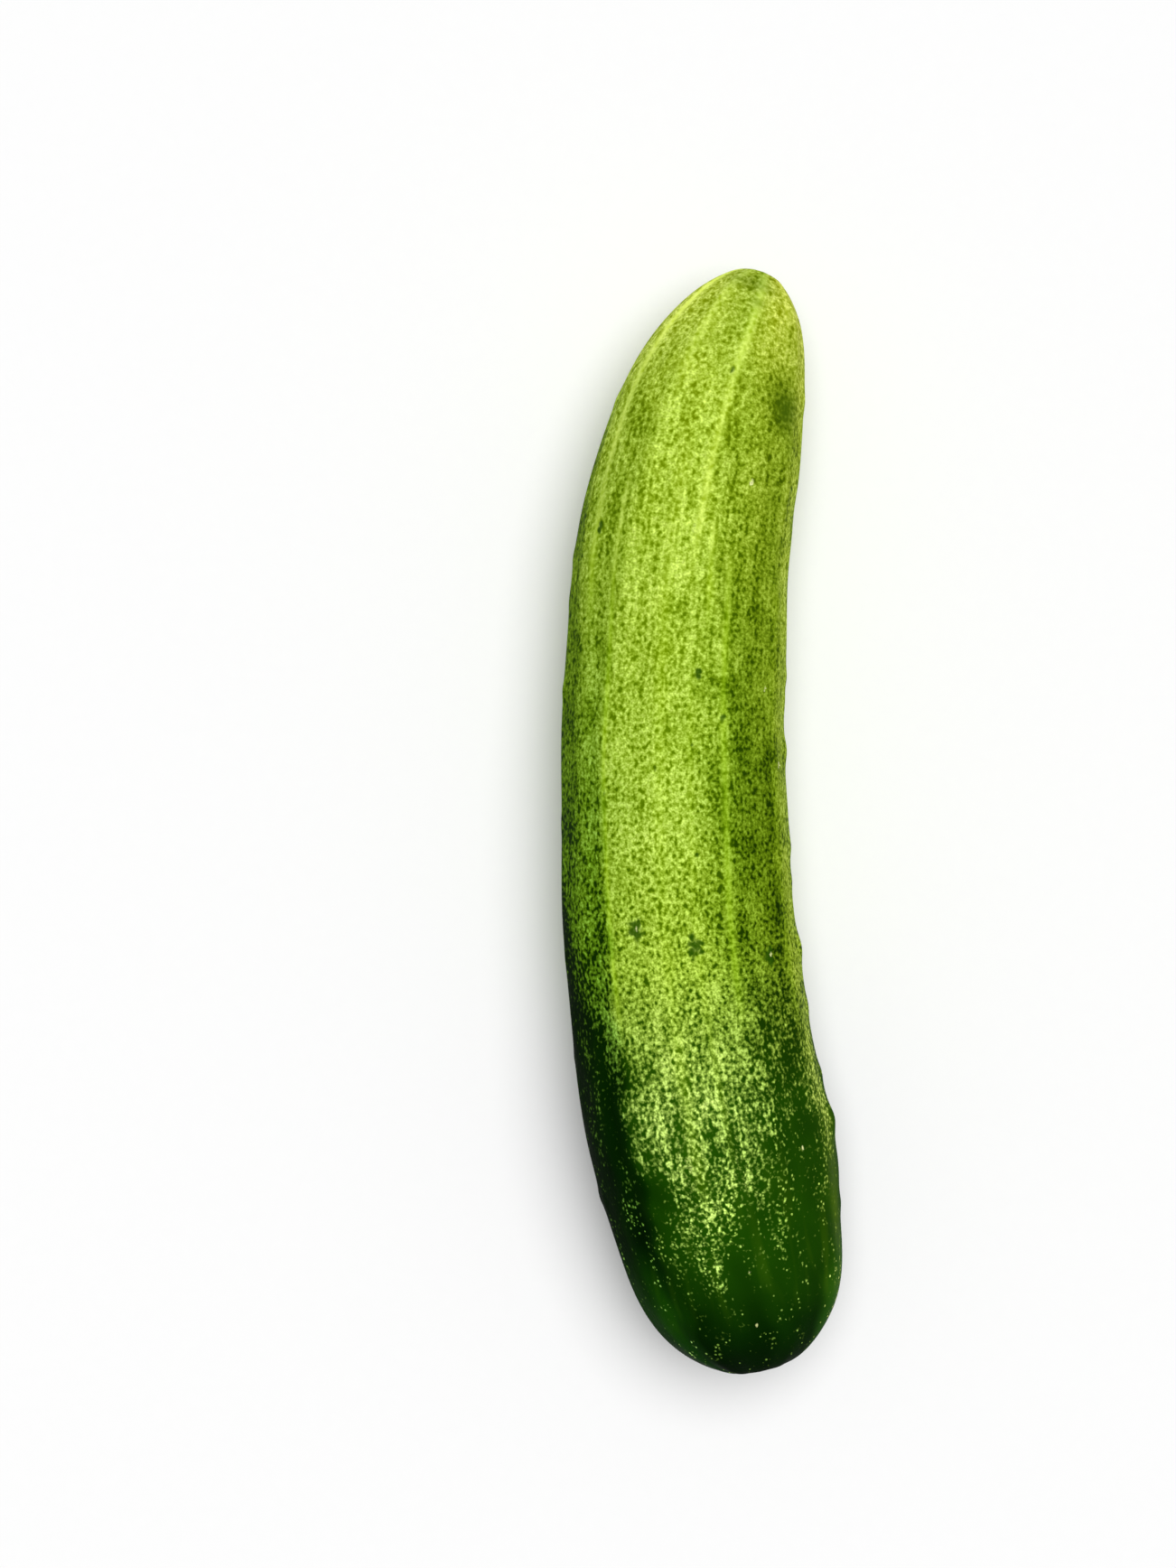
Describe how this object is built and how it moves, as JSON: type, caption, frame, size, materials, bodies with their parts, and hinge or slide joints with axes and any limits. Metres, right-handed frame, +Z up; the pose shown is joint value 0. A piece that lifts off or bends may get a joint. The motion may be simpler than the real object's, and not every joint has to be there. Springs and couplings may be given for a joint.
{
  "type": "cucumber",
  "caption": "Curved cucumber lying on its side as picked, with low ribs, sparse warts and a scar at each tip, flattened slightly where it rests.",
  "frame": {"origin": "on the surface that carries the fruit, under the middle of its outline's box", "axes": "+Y along the fruit from the stem end to the blossom end, +X towards the hollow side of its bend, +Z up from the surface that it rests on"},
  "size_m": [0.0485, 0.1908, 0.0406],
  "materials": {
    "skin": "waxy satin skin, speckled pale and dark green, dark green at the stem end"
  },
  "bodies": {
    "root": {"cucumber": "skin"}
  },
  "joints": []
}
